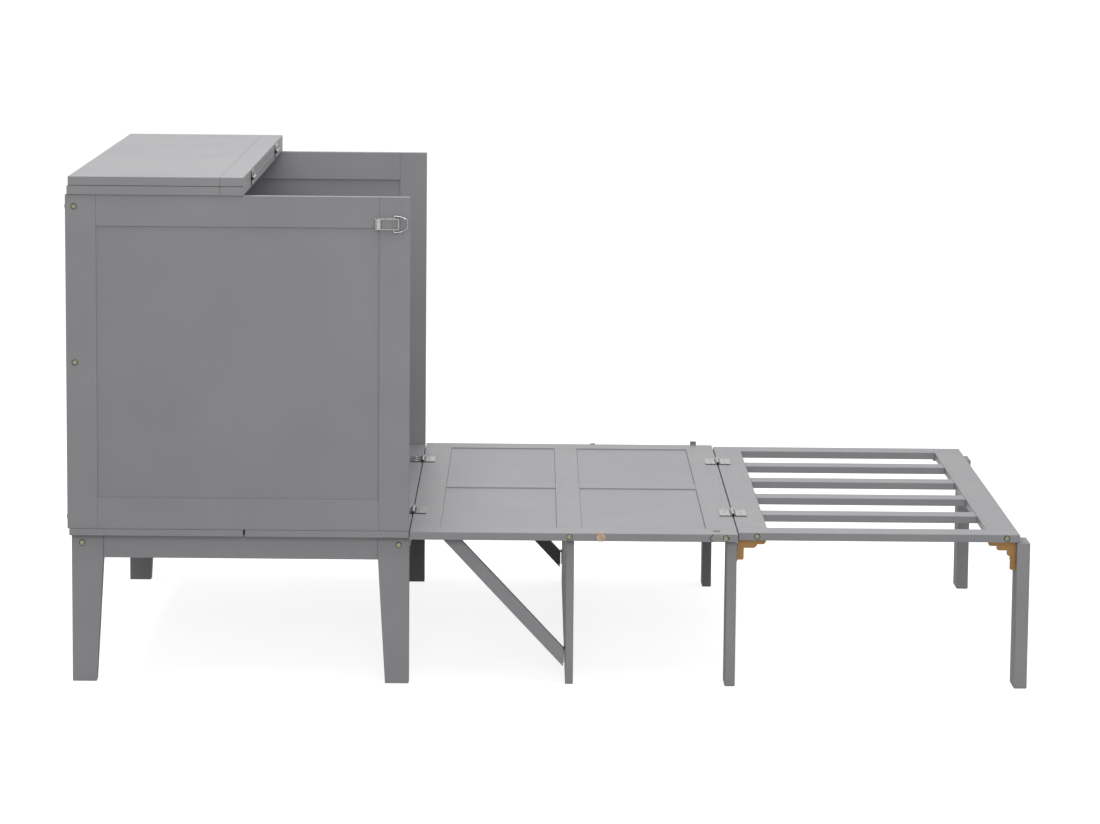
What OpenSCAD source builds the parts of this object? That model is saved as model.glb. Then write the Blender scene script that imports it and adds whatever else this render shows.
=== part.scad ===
// Cabinet wall bed, unfolded: a frame-and-panel cabinet on a legged base, a door that lies
// down as the first part of the platform, a slatted frame hinged to it, folding legs, a
// folding support board with two braces, and a two-leaf lid folded back on the cabinet.
// X runs from the cabinet to the foot of the bed, left is -Y, and the floor is Z = 0.

/* [Overall] */
// Width of the platform, the door and the lid
width = 1060; // [980:1:1300]
// Height of the sleeping surface above the floor
platform_height = 318; // [300:1:360]
// Thickness of the door and of the slatted frame
deck_thick = 16; // [15:0.5:22]
// Bevel along the edges of every board
edge_ease = 0.8; // [0.3:0.1:1.5]

/* [Cabinet] */
// Depth of the side frames, from rear to front
cabinet_depth = 688; // [670:1:760]
// Height of the side frames above the cabinet floor
side_height = 677; // [660:1:760]
// Thickness of the side and back frames
case_thick = 15; // [13:0.5:20]
// Distance of the side frames' outer faces from the platform's edge
side_inset = 4; // [3:0.5:12]
// Width of the upright stiles
stile_width = 61; // [45:1:80]
// Width of the level rails
rail_width = 63; // [45:1:80]
// Thickness of the thin panels between stiles and rails
panel_thick = 7; // [5:0.5:9]
// Depth of the grooves that hold the panels' edges
groove_depth = 7; // [4:0.5:12]
// Distance of the back frame from the rear edge of the side frames
back_setback = 10; // [6:0.5:20]
// Thickness of the cabinet floor boards
floor_thick = 13; // [10:0.5:18]
// Gap between the two floor boards
floor_gap = 4; // [1:0.5:8]

/* [Base] */
// Width of a base leg at its top
leg_top_width = 63; // [50:1:80]
// Width of a base leg at the floor
leg_foot_width = 48; // [35:1:50]
// Thickness of the base legs
leg_thick = 27; // [20:0.5:35]
// Height of the aprons between the base legs
apron_height = 50; // [35:1:70]
// Thickness of the aprons
apron_thick = 18; // [14:0.5:22]
// Width of the bearer under the joint of the floor boards
bearer_width = 60; // [40:1:80]
// Height of that bearer
bearer_height = 22; // [18:1:35]
// Distance of the base legs from the platform's side edge
leg_side_inset = 23; // [10:0.5:30]
// Distance of the rear base legs from the rear of the cabinet
leg_rear_inset = 6; // [4:0.5:20]
// Distance of the front base legs from the front of the cabinet
leg_front_inset = 0; // [0:0.5:10]

/* [Lid] */
// Thickness of the lid boards
lid_thick = 18; // [15:0.5:24]
// Length of the fixed rear leaf
lid_leaf = 352; // [335:1:380]
// How much shorter the folding leaf is than the fixed one
lid_leaf_short = 2.5; // [0:0.5:6]
// Width of the cleat along the hinged edges
lid_cleat = 47; // [35:1:70]
// Distance of the lid from the rear edge of the side frames
lid_setback = 4; // [0:0.5:10]
// Gap between the two leaves when the lid is folded back
lid_stack_gap = 0.6; // [0.4:0.1:1.5]

/* [Door] */
// How much shorter the door is than the side frames
door_short = 15; // [12:0.5:24]
// Width of the two long rails along the door's side edges
door_rail = 59; // [40:1:75]
// Width of the long rail in the middle
door_mid_rail = 55; // [35:1:70]
// Width of the cross stile at the cabinet
door_rear_stile = 60; // [45:1:80]
// Width of the cross stile in the middle
door_mid_stile = 51; // [40:1:70]
// Width of the cross stile at the slatted frame
door_front_stile = 62; // [45:1:80]
// Distance from the door's rear edge to the middle stile's centre
mid_stile_at = 322; // [290:1:340]
// Depth of the door panels below the sleeping surface
panel_recess = 2.5; // [1:0.5:4]
// Thickness of the door panels
door_panel_thick = 9; // [6:0.5:10]

/* [Slatted frame] */
// Length of the slatted frame
frame_length = 570; // [540:1:640]
// Width of the frame's side rails
frame_rail = 56; // [45:1:75]
// Width of the crossbar at the door
rear_crossbar = 61; // [45:1:80]
// Width of the crossbar at the foot
foot_crossbar = 62; // [45:1:80]
// Number of slats between the side rails
slat_count = 4; // [3:1:7]
// Width of a slat
slat_width = 47; // [35:1:60]
// Distance of the slats below the frame's top
slat_drop = 1; // [0:0.5:3]
// Gap between the stowed frame and each side frame
stow_clear = 1; // [0.5:0.5:5]

/* [End legs] */
// Thickness of the pair of legs at the door
rear_leg_thick = 21; // [16:0.5:26]
// Thickness of the pair of legs at the foot
foot_leg_thick = 26.7; // [18:0.5:32]
// Depth of the end legs across the bed
end_leg_depth = 60; // [45:1:75]
// How far the rear legs reach back under the door's edge
rear_leg_reach = 3; // [2:0.5:6]
// How far the foot legs stand out past the frame
foot_leg_out = 21; // [12:0.5:24]
// Bevel along the upright edges of the end legs
end_leg_ease = 1.5; // [0.5:0.5:3]

/* [Leg brackets] */
// Thickness of the bracket plate
bracket_thick = 2; // [1.5:0.25:3]
// Length of the bracket along the rail
bracket_long = 57; // [50:1:70]
// Length of the deep lobe of the rear bracket
rear_lobe = 33; // [30:1:36]
// Height of the foot bracket below the rail
bracket_high = 42; // [40:0.5:46]
// Width of the screw flanges
bracket_flange = 15; // [10:1:16]
// Distance of the plates from the leg's outer face
bracket_in = 18; // [17:1:26]
// Radius of the bracket's pivot rivet
rivet_radius = 3; // [2:0.25:3.5]
// Depth of the rear legs' pivots below the rail
rear_pivot_drop = 11; // [9:0.5:12]
// Distance of the rear legs' pivots from the leg
rear_pivot_off = 9; // [8:0.5:10]
// Depth of the foot legs' pivots below the rail
foot_pivot_drop = 37; // [36:0.5:40]
// Distance of the foot legs' pivots from the leg
foot_pivot_off = 6; // [5:0.5:7]

/* [Support] */
// Thickness of the support board
support_thick = 16; // [12:0.5:22]
// Distance of the support board's ends from the side edges
support_side_inset = 29; // [20:1:60]
// Width of a brace
brace_width = 26; // [20:0.5:34]
// Thickness of a brace
brace_thick = 16; // [12:0.5:20]
// Distance of a brace from the side edge
brace_side_inset = 31; // [29:1:60]
// Height of the brace's lower corner above the floor
brace_low = 36; // [20:1:60]
// Slope of the braces from level, in degrees
brace_slope = 46.7; // [40:0.1:50]

/* [Hinges] */
// Radius of the hinge knuckles
knuckle_radius = 3; // [2.5:0.1:4]
// Radius of the hinge pins
pin_radius = 1.5; // [1:0.1:2]
// Thickness of the hinge leaves
leaf_thick = 1.8; // [1:0.1:2]
// Reach of a deck hinge leaf from its pin
deck_leaf_reach = 28; // [22:1:36]
// Reach of a support hinge leaf from its pin
support_leaf_reach = 12; // [10:0.5:14]
// Length of a deck hinge
deck_hinge_length = 66; // [40:1:90]
// Distance of the deck and support hinges from the side edge
hinge_from_edge = 225; // [150:1:300]
// Length of a lid hinge
lid_hinge_length = 60; // [40:1:80]
// Distance of the lid hinges from the side edge
lid_hinge_from_edge = 212; // [120:1:300]
// Radius of the screw holes in the leaves
screw_hole_radius = 1.9; // [1.2:0.1:2.2]

/* [Latches] */
// Distance of the latches below the side frames' top
latch_drop = 54; // [47:1:110]
// Length of the lever
lever_length = 47; // [36:1:60]
// Width of the lever
lever_width = 22; // [16:0.5:28]
// Distance between the lever's pivot and the loop's pivot
lever_throw = 9; // [8:0.5:11]
// Distance of both pivots from the side frame's face
latch_lift = 5; // [4.5:0.25:7]
// Distance of the lever's pivot from the front edge of the side frame
latch_from_front = 23; // [18:0.5:28]
// Radius of the loop's wire
wire_radius = 1.25; // [1:0.05:1.5]
// Width of the loop over its rear corners
loop_width = 37; // [34:0.5:44]
// Width of the loop over its shoulders
loop_shoulder_width = 32; // [30:0.5:36]
// Width of the loop over its nose
loop_nose_width = 21.5; // [18:0.5:24]
// Length of the keeper plate
keeper_length = 42; // [36:1:56]
// Height of the keeper plate
keeper_height = 15; // [10:0.5:15]
// Thickness of the keeper plate
keeper_thick = 1.2; // [0.8:0.1:1.5]
// Width of the keeper's hook
hook_width = 14; // [8:0.5:15]
// How far the keeper's hook stands above the door
hook_reach = 8; // [6:0.1:9]

/* [Fasteners] */
// Radius of the round bolt heads
bolt_radius = 5.8; // [4:0.1:6.2]
// Height of the round bolt heads
bolt_height = 2.6; // [1.5:0.1:4]
// Depth of the round seats that the bolt heads lie in
bolt_seat_depth = 1.4; // [0.5:0.1:1.6]
// Gap between a bolt head and the wall of its seat
bolt_seat_gap = 0.7; // [0.3:0.1:0.7]
// How far the slatted frame's bolt heads stand out of their seats
sunk_bolt_proud = 0.4; // [0:0.1:0.5]
// Size across the flats of the hexagonal heads
hex_flats = 18; // [12:0.5:18]
// Height of the hexagonal heads
hex_height = 4; // [2:0.5:6]
// Distance of the hexagonal heads from the middle stile's centre
hex_from_stile = 63; // [50:1:90]

/* [Hidden] */
$fn = 40;

// Running clearances
seat_gap = 0.3;      // between pieces that rest against each other when in use
pin_fit = 0.05;      // radial play of a pin in its knuckle or eye
knuckle_gap = 0.3;   // between neighbouring knuckles, and round them
plate_gap = 0.3;     // between bracket plates, and between lever and ears
head_thick = 1;      // thickness of pin and rivet heads
seam = 2.2;          // gap between the deck boards at a hinge

// Colours of paint and metals
PAINT = "#7f7f83";
PAINT_TOP = "#aeaeb2";
STEEL = "#b9bab8";
BRASS = "#b5a777";
COPPER = "#c39a76";
BRACKET = "#8f703e";

// Levels and widths that several pieces share
half = width / 2;
deck_top = platform_height;
deck_under = deck_top - deck_thick;
floor_under = deck_top - floor_thick;
side_top = deck_top + side_height;
side_face = half - side_inset;
frame_half = side_face - case_thick - stow_clear;
pin_lift = knuckle_radius + knuckle_gap;
hinge_y = half - hinge_from_edge;
lid_hinge_y = half - lid_hinge_from_edge;

// Places along the bed, measured from the rear edge of the side frames
door_length = side_height - door_short;
door_pin_x = cabinet_depth + seam / 2;
door_x = cabinet_depth + seam;
frame_pin_x = door_x + door_length + seam / 2;
frame_x = frame_pin_x + seam / 2;
frame_end = frame_x + frame_length;
rear_leg_face = frame_x - rear_leg_reach;
foot_leg_face = frame_end + foot_leg_out - foot_leg_thick;
support_x = door_x + mid_stile_at + 2 - support_thick / 2;
support_face = support_x + support_thick;
lid_edge = lid_setback + lid_leaf;
lid_pin_x = lid_edge + pin_lift;
lid_pin_z = side_top + lid_thick + lid_stack_gap * 3 / 4;
bolt_proud = bolt_height - bolt_seat_depth;
mid_x = (frame_end + foot_leg_out - bolt_proud) / 2;

module stand() translate([-mid_x, 0, 0]) children();
module both_sides() {
  children();
  mirror([0, 1, 0]) children();
}

// Boards

// Rectangle a by b with its corners cut off by e
module eased(a, b, e) {
  polygon([[e, 0], [a - e, 0], [a, e], [a, b - e], [a - e, b], [e, b], [0, b - e], [0, e]]);
}

// Board with all its edges bevelled, the common part of its three eased outlines
module board(size, e = edge_ease) intersection() {
  rotate([90, 0, 90]) linear_extrude(size[0]) eased(size[1], size[2], e);
  translate([0, size[1], 0]) rotate([90, 0, 0]) linear_extrude(size[1]) eased(size[0], size[2], e);
  linear_extrude(size[2]) eased(size[0], size[1], e);
}

// Outline in the XZ plane, thick along Y from y = 0 towards +Y
module upright_plate(thick) translate([0, thick, 0]) rotate([90, 0, 0]) linear_extrude(thick) children();

// Hinges: the pin lies along Y through the origin, and the leaf lies towards +X on a
// surface that is lift below the pin

module knuckles(length, r, ends) {
  part = length / 3;
  for (i = [0 : 2]) if ((i != 1) == ends) {
    translate([0, -length / 2 + i * part + knuckle_gap / 2, 0]) children();
  }
}

module hinge_leaf(length, reach, ends, r = knuckle_radius, pr = pin_radius, t = leaf_thick,
                  holes = 3) {
  lift = r + knuckle_gap;
  part = length / 3 - knuckle_gap;
  near = r + knuckle_gap;
  hole_at = near + (reach - near) / 2;
  difference() {
    union() {
      translate([near, -length / 2, -lift]) cube([reach - near, length, t]);
      knuckles(length, r, ends) {
        translate([0, 0, -lift]) cube([near + t, part, t]);
        rotate([-90, 0, 0]) cylinder(h = part, r = r);
      }
    }
    rotate([90, 0, 0]) cylinder(h = length * 2, r = pr + pin_fit, center = true);
    if (holes > 0) for (i = [0 : holes - 1]) {
      translate([hole_at, (i - (holes - 1) / 2) * length / holes, -lift - t])
        cylinder(h = 3 * t, r = screw_hole_radius);
    }
  }
}

module hinge_pin(length, pr = pin_radius) {
  reach = length + knuckle_gap;
  rotate([90, 0, 0]) {
    cylinder(h = reach, r = pr, center = true);
    for (s = [-1, 1]) {
      translate([0, 0, s * (reach + head_thick) / 2])
        cylinder(h = head_thick, r = pr + head_thick / 2, center = true);
    }
  }
}

// Fasteners

// Round head with a hexagonal socket, rising along +Z from a surface
module bolt_head() {
  socket = bolt_radius / 2;
  difference() {
    union() {
      cylinder(h = bolt_height / 2, r = bolt_radius);
      translate([0, 0, bolt_height / 2])
        cylinder(h = bolt_height / 2, r1 = bolt_radius, r2 = bolt_radius * 0.8);
    }
    translate([0, 0, bolt_height / 2]) cylinder(h = bolt_height, r = socket, $fn = 6);
  }
}

module bolt_seat(depth = bolt_seat_depth) translate([0, 0, -depth])
  cylinder(h = 2 * depth, r = bolt_radius + bolt_seat_gap);

module seated_bolt(depth = bolt_seat_depth) translate([0, 0, -depth]) bolt_head();

// Turns what rises along +Z so that it stands out of a left face or of a rear face
module out_left() rotate([90, 0, 0]) children();
module out_rear() rotate([0, -90, 0]) children();

// Base of the cabinet

// Left leg with its outer edge at x = inset, tapered on its inner side below the apron
module base_leg(inset) {
  taper_top = floor_under - apron_height;
  difference() {
    translate([inset, -half + leg_side_inset, 0]) upright_plate(leg_thick) polygon([
      [0, 0],
      [leg_foot_width, 0],
      [leg_top_width, taper_top],
      [leg_top_width, floor_under],
      [0, floor_under]
    ]);
    leg_bolt_places(inset) bolt_seat();
  }
}

// A bolt from the side and, a little lower, one from the end of the cabinet
module leg_bolt_places(inset) {
  apron_mid = floor_under - apron_height / 2;
  translate([inset + leg_top_width / 3, -half + leg_side_inset, apron_mid + 6]) out_left() children();
  translate([inset, -half + leg_side_inset + apron_setback + apron_thick / 2, apron_mid - 4])
    out_rear() children();
}

module front_to_rear() translate([cabinet_depth, 0, 0]) mirror([1, 0, 0]) children();

module leg_rear() color(PAINT) stand() base_leg(leg_rear_inset);
module leg_front() color(PAINT) stand() front_to_rear() base_leg(leg_front_inset);
module base_leg_rear_left() leg_rear();
module base_leg_rear_right() mirror([0, 1, 0]) leg_rear();
module base_leg_front_left() leg_front();
module base_leg_front_right() mirror([0, 1, 0]) leg_front();

// Aprons stand a little behind the faces of the legs
apron_setback = 3;

module side_aprons() color(PAINT) stand() both_sides() {
  x0 = leg_rear_inset + leg_top_width;
  x1 = cabinet_depth - leg_front_inset - leg_top_width;
  translate([x0, -half + leg_side_inset + apron_setback, floor_under - apron_height])
    board([x1 - x0, apron_thick, apron_height]);
}

// Cabinet floor in two boards, split under the lid's hinge line
floor_x = lid_setback;
floor_split = lid_edge;

// Aprons across both ends, and a bearer under the joint of the floor boards
module cross_members() color(PAINT) stand() {
  span = width - 2 * (leg_side_inset + leg_thick);
  rear = leg_rear_inset + apron_setback;
  front = cabinet_depth - leg_front_inset - apron_setback - apron_thick;
  for (x = [rear, front]) {
    translate([x, -span / 2, floor_under - apron_height])
      board([apron_thick, span, apron_height]);
  }
  bearer_span = width - 2 * (leg_side_inset + apron_setback + apron_thick);
  translate([floor_split - bearer_width / 2, -bearer_span / 2, floor_under - bearer_height])
    board([bearer_width, bearer_span, bearer_height]);
}

module floor_board(x0, x1) color(PAINT_TOP) stand() {
  translate([x0, -half, floor_under]) board([x1 - x0, width, floor_thick]);
}

module floor_board_rear() floor_board(floor_x, floor_split - floor_gap / 2);
module floor_board_front() floor_board(floor_split + floor_gap / 2, cabinet_depth);

// Frame-and-panel case

// Panel space of a frame as wide and high as given, its edges in the grooves
module panel_space(length, thick, high) {
  translate([stile_width - groove_depth, 0, rail_width - groove_depth])
    cube([length - 2 * (stile_width - groove_depth), thick, high - 2 * (rail_width - groove_depth)]);
}

panel_in = (case_thick - panel_thick) / 2;

// Bolts into the back frame through each side frame, and into the stile's rear edge
module side_bolt_places() {
  high = side_height - 24;
  for (z = [high, side_height / 2]) {
    translate([back_setback + case_thick / 2, 0, z]) out_left() children();
  }
  for (z = [high, 24]) translate([0, case_thick / 2, z]) out_rear() children();
}

module side_frame() color(PAINT) stand() translate([0, -side_face, deck_top]) difference() {
  union() {
    for (x = [0, cabinet_depth - stile_width]) {
      translate([x, 0, 0]) board([stile_width, case_thick, side_height]);
    }
    for (z = [0, side_height - rail_width]) {
      translate([stile_width, 0, z])
        board([cabinet_depth - 2 * stile_width, case_thick, rail_width]);
    }
  }
  translate([0, panel_in, 0]) panel_space(cabinet_depth, panel_thick, side_height);
  side_bolt_places() bolt_seat();
}

module side_panel() color(PAINT) stand() translate([0, -side_face + panel_in, deck_top])
  panel_space(cabinet_depth, panel_thick, side_height);

module side_frame_left() side_frame();
module side_frame_right() mirror([0, 1, 0]) side_frame();
module side_panel_left() side_panel();
module side_panel_right() mirror([0, 1, 0]) side_panel();

back_half = side_face - case_thick;

// The back lies across, so its length runs along Y
module across() translate([back_setback, back_half, deck_top]) rotate([0, 0, -90]) children();

module back_frame() color(PAINT) stand() across() difference() {
  union() {
    for (u = [0, 2 * back_half - stile_width]) {
      translate([u, 0, 0]) board([stile_width, case_thick, side_height]);
    }
    for (z = [0, side_height - rail_width]) {
      translate([stile_width, 0, z])
        board([2 * (back_half - stile_width), case_thick, rail_width]);
    }
  }
  translate([0, panel_in, 0]) panel_space(2 * back_half, panel_thick, side_height);
}

module back_panel() color(PAINT) stand() across() translate([0, panel_in, 0])
  panel_space(2 * back_half, panel_thick, side_height);

// Lid: the rear leaf is fixed on the case, and the front leaf lies folded back on it

module lid_rear_board() color(PAINT_TOP) stand() translate([lid_setback, -half, side_top])
  board([lid_leaf - lid_cleat, width, lid_thick]);

module lid_rear_cleat() color(PAINT_TOP) stand() translate([lid_edge - lid_cleat, -half, side_top])
  board([lid_cleat, width, lid_thick]);

lid_stack_z = side_top + lid_thick + lid_stack_gap;

module lid_front_board() color(PAINT_TOP) stand()
  translate([lid_setback + lid_leaf_short, -half, lid_stack_z])
    board([lid_leaf - lid_leaf_short - lid_cleat, width, lid_thick]);

module lid_front_cleat() color(PAINT_TOP) stand()
  translate([lid_edge - lid_cleat, -half, lid_stack_z])
    board([lid_cleat, width, lid_thick]);

lid_leaf_reach = lid_thick - 3;

module lid_hinges() stand() for (y = [-lid_hinge_y, lid_hinge_y]) {
  translate([lid_pin_x, y, lid_pin_z]) rotate([0, 90, 0]) children();
}

module lid_hinge_rear_leaves() color(STEEL) lid_hinges() {
  hinge_leaf(lid_hinge_length, lid_leaf_reach, true);
  hinge_pin(lid_hinge_length);
}

module lid_hinge_front_leaves() color(STEEL) lid_hinges() rotate([0, 0, 180])
  hinge_leaf(lid_hinge_length, lid_leaf_reach, false);

// Hinges on top of the deck

module deck_hinges(x) stand() for (y = [-hinge_y, hinge_y]) {
  translate([x, y, deck_top + pin_lift]) children();
}

module pinned_deck_leaf() {
  hinge_leaf(deck_hinge_length, deck_leaf_reach, true);
  hinge_pin(deck_hinge_length);
}

module door_hinge_cabinet_leaves() color(STEEL) deck_hinges(door_pin_x) rotate([0, 0, 180])
  pinned_deck_leaf();

module door_hinge_door_leaves() color(STEEL) deck_hinges(door_pin_x)
  hinge_leaf(deck_hinge_length, deck_leaf_reach, false);

module frame_hinge_door_leaves() color(STEEL) deck_hinges(frame_pin_x) rotate([0, 0, 180])
  pinned_deck_leaf();

module frame_hinge_frame_leaves() color(STEEL) deck_hinges(frame_pin_x)
  hinge_leaf(deck_hinge_length, deck_leaf_reach, false);

// Bolts of the case and the base
module cabinet_bolts() color(BRASS) stand() both_sides() {
  translate([0, -side_face, deck_top]) side_bolt_places() seated_bolt();
  leg_bolt_places(leg_rear_inset) seated_bolt();
  front_to_rear() leg_bolt_places(leg_front_inset) seated_bolt();
}

// Draw latches: a base with two ears, an over-centre lever and a wire loop. The place is
// the lever's pivot on the left side, with u towards the rear and v out from the face.

latch_z = side_top - latch_drop;
latch_x = cabinet_depth - latch_from_front;
base_thick = 1.2;
lever_thick = 1.6;
latch_pin = 1.5;
eye_radius = 3.2;
ear_radius = 3.4;

module latch_left() stand() translate([latch_x, -side_face, latch_z]) children();

// Outline in u and v, thick along Z about the latch's middle
module latch_profile(height) {
  translate([0, 0, -height / 2]) mirror([0, 1, 0]) mirror([1, 0, 0]) linear_extrude(height) children();
}

module latch_base() color(STEEL) latch_left() {
  ear_gap = lever_width + 2 * plate_gap;
  difference() {
    union() {
      latch_profile(ear_gap + 2 * base_thick) translate([-ear_radius, 0])
        square([lever_length + ear_radius, base_thick]);
      for (s = [-1, 1]) translate([0, 0, s * (ear_gap + base_thick) / 2]) latch_profile(base_thick) {
        translate([-ear_radius, 0]) square([2 * ear_radius, latch_lift]);
        translate([0, latch_lift]) circle(r = ear_radius);
      }
    }
    translate([0, -latch_lift, 0]) cylinder(h = 2 * ear_gap, r = latch_pin + pin_fit, center = true);
    for (u = [lever_length * 0.4, lever_length * 0.8]) {
      translate([-u, 0, 0]) rotate([90, 0, 0])
        cylinder(h = 4 * base_thick, r = screw_hole_radius, center = true);
    }
  }
  translate([0, -latch_lift, 0]) {
    reach = ear_gap + 2 * base_thick + 2 * pin_fit;
    cylinder(h = reach, r = latch_pin, center = true);
    for (s = [-1, 1]) {
      translate([0, 0, s * (reach + head_thick / 2) / 2])
        cylinder(h = head_thick / 2, r = latch_pin + head_thick / 2, center = true);
    }
  }
}

// Lever: two cheeks joined by a sunken web and by an eye round each pivot, and a finger tip
cheek_thick = 1.4;
tip_round = 3;

module latch_lever() color(STEEL) latch_left() {
  back = latch_lift + eye_radius;
  tip = lever_length;
  tip_start = tip * 0.76;
  difference() {
    union() {
      for (s = [-1, 1]) translate([0, 0, s * (lever_width - cheek_thick) / 2]) latch_profile(cheek_thick) {
        translate([0, latch_lift]) circle(r = eye_radius);
        translate([0, latch_lift - eye_radius]) square([lever_throw, 2 * eye_radius]);
        polygon([
          [0, latch_lift],
          [lever_throw, latch_lift - eye_radius],
          [tip_start, back - 3],
          [tip_start + 2, back],
          [0, back]
        ]);
      }
      latch_profile(lever_width) {
        translate([0, latch_lift]) circle(r = eye_radius);
        translate([lever_throw, latch_lift]) circle(r = wire_radius + 1);
        translate([0, latch_lift - lever_thick / 2]) square([tip_start, lever_thick]);
      }
      intersection() {
        latch_profile(lever_width) polygon([
          [tip_start - 2, back - 4],
          [tip_start, back - 4],
          [tip - 1, back - 0.6],
          [tip, back + 0.6],
          [tip - 1, back + 1.4],
          [tip - 4, back + 0.6],
          [tip_start, back],
          [tip_start - 2, back - 2]
        ]);
        translate([0, 1, 0]) rotate([90, 0, 0]) linear_extrude(2 * back + 4) hull()
          for (s = [-1, 1]) {
            translate([-tip + tip_round, s * (lever_width / 2 - tip_round)]) circle(r = tip_round);
            translate([0, s * (lever_width / 2 - 1)]) circle(r = 1);
          }
      }
    }
    translate([0, -latch_lift, 0])
      cylinder(h = 2 * lever_width, r = latch_pin + pin_fit, center = true);
    translate([-lever_throw, -latch_lift, 0])
      cylinder(h = 2 * lever_width, r = wire_radius + pin_fit, center = true);
  }
}

// Round wire bent into a closed ring through points in the XY plane, counterclockwise, with
// a bend radius for each; the straights end inside the bends, which are a hair thicker
module bent_wire(points, bends, r) {
  n = len(points);
  swell = 0.06;
  overlap = 0.3;
  for (i = [0 : n - 1]) {
    j = (i + 1) % n;
    before = points[i] - points[(i + n - 1) % n];
    after = points[j] - points[i];
    last = points[(i + 2) % n] - points[j];
    go_in = before / norm(before);
    go_on = after / norm(after);
    turn = acos(go_in * go_on);
    cut = bends[i] * tan(turn / 2);
    next_cut = bends[j] * tan(acos(go_on * last / norm(last)) / 2);
    translate(points[i] - cut * go_in + bends[i] * [-go_in[1], go_in[0]])
      rotate([0, 0, atan2(-go_in[0], go_in[1])]) rotate_extrude(angle = turn)
        translate([bends[i], 0]) circle(r = r + swell);
    translate(points[i] + (cut - overlap) * go_on) rotate([0, 90, atan2(go_on[1], go_on[0])])
      cylinder(h = norm(after) - cut - next_cut + 2 * overlap, r = r);
  }
}

// The loop's nose stops short of the keeper's hook while the lever is closed
hook_lip = 2.5;
nose_gap = 0.6;
loop_nose_x = door_pin_x + pin_lift - hook_reach - nose_gap - wire_radius - latch_x;

// Front end of the loop's parallel arms, measured forward from the lever's pivot
loop_shoulder = 6.5;

module latch_loop() color(STEEL) latch_left() translate([0, -latch_lift, 0]) {
  rear = loop_width / 2 - wire_radius;
  shoulder = loop_shoulder_width / 2 - wire_radius;
  nose = loop_nose_width / 2 - wire_radius;
  rotate([90, 0, 0]) bent_wire([
    [-lever_throw, -rear],
    [loop_shoulder, -shoulder],
    [loop_nose_x, -nose],
    [loop_nose_x, nose],
    [loop_shoulder, shoulder],
    [-lever_throw, rear]
  ], [3, 4, 4, 4, 4, 3], wire_radius);
}

module latch_base_left() latch_base();
module latch_base_right() mirror([0, 1, 0]) latch_base();
module latch_lever_left() latch_lever();
module latch_lever_right() mirror([0, 1, 0]) latch_lever();
module latch_loop_left() latch_loop();
module latch_loop_right() mirror([0, 1, 0]) latch_loop();

// Door: the first part of the platform

door_inner = width - 2 * door_rail;
mid_stile_x = mid_stile_at - door_mid_stile / 2;

// Starts and lengths of the two bays between the cross stiles
bays = [
  [door_rear_stile, mid_stile_x - door_rear_stile],
  [mid_stile_x + door_mid_stile, door_length - door_front_stile - mid_stile_x - door_mid_stile]
];

module door_panels() color(PAINT_TOP) stand() both_sides() for (bay = bays) {
  translate([
    door_x + bay[0] - groove_depth,
    -door_inner / 2 - groove_depth,
    deck_top - panel_recess - door_panel_thick
  ]) cube([
    bay[1] + 2 * groove_depth,
    (door_inner - door_mid_rail) / 2 + 2 * groove_depth,
    door_panel_thick
  ]);
}

module door_bolt_place() translate([door_x + mid_stile_at, -half, keeper_z]) out_left() children();

module door_rails() color(PAINT_TOP) difference() {
  stand() both_sides() difference() {
    translate([door_x, -half, deck_under]) board([door_length, door_rail, deck_thick]);
    door_bolt_place() bolt_seat();
  }
  door_panels();
}

module door_stiles() color(PAINT_TOP) difference() {
  stand() translate([door_x, -door_inner / 2, deck_under]) {
    board([door_rear_stile, door_inner, deck_thick]);
    translate([mid_stile_x, 0, 0]) board([door_mid_stile, door_inner, deck_thick]);
    translate([door_length - door_front_stile, 0, 0])
      board([door_front_stile, door_inner, deck_thick]);
  }
  door_panels();
}

module door_mid_rails() color(PAINT_TOP) difference() {
  stand() for (bay = bays) {
    translate([door_x + bay[0], -door_mid_rail / 2, deck_under])
      board([bay[1], door_mid_rail, deck_thick]);
  }
  door_panels();
}

// Keepers on the door's side edges, with a hook that the latch loops draw in
keeper_x = door_pin_x + latch_z - deck_top - pin_lift;
keeper_shift = keeper_length / 7;
keeper_z = deck_top - deck_thick / 2;

module keeper() color(STEEL) stand() translate([keeper_x, -half - keeper_thick, 0]) {
  point = keeper_height / 2;
  flat = keeper_length / 2;
  upright_plate(keeper_thick) {
    translate([keeper_shift, 0]) polygon([
      [-flat, keeper_z],
      [-flat + point, keeper_z - point],
      [flat - point, keeper_z - point],
      [flat, keeper_z],
      [flat - point, keeper_z + point],
      [-flat + point, keeper_z + point]
    ]);
    translate([-hook_width / 2, keeper_z]) square([hook_width, deck_top + hook_reach - keeper_z]);
  }
  translate([-hook_width / 2, -hook_lip, deck_top + hook_reach - keeper_thick])
    cube([hook_width, hook_lip + keeper_thick, keeper_thick]);
}

module keepers() both_sides() keeper();

// Hexagonal head whose corners are cut by a cone of 30 degrees round its end face
module hex_head() intersection() {
  end_radius = hex_flats * 0.47;
  cylinder(h = hex_height, r = hex_flats / sqrt(3), $fn = 6);
  cylinder(h = hex_height, r1 = end_radius + hex_height * sqrt(3), r2 = end_radius);
}

module hex_bolts() color(COPPER) stand() both_sides()
  translate([door_x + mid_stile_at + hex_from_stile, -half, keeper_z + 1]) out_left() hex_head();

module door_bolts() color(BRASS) stand() both_sides() {
  door_bolt_place() seated_bolt();
  translate([keeper_x + keeper_shift + keeper_length * 0.3, -half - keeper_thick, keeper_z])
    out_left() bolt_head();
}

// Slatted frame: the second part of the platform, narrow enough to stow between the sides

frame_bolt_at = [rear_crossbar * 0.62, frame_length - foot_crossbar * 0.43];
bolt_sink = bolt_height - sunk_bolt_proud;

module frame_bolt_places() for (x = frame_bolt_at) {
  translate([frame_x + x, -frame_half, keeper_z]) out_left() children();
}

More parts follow.
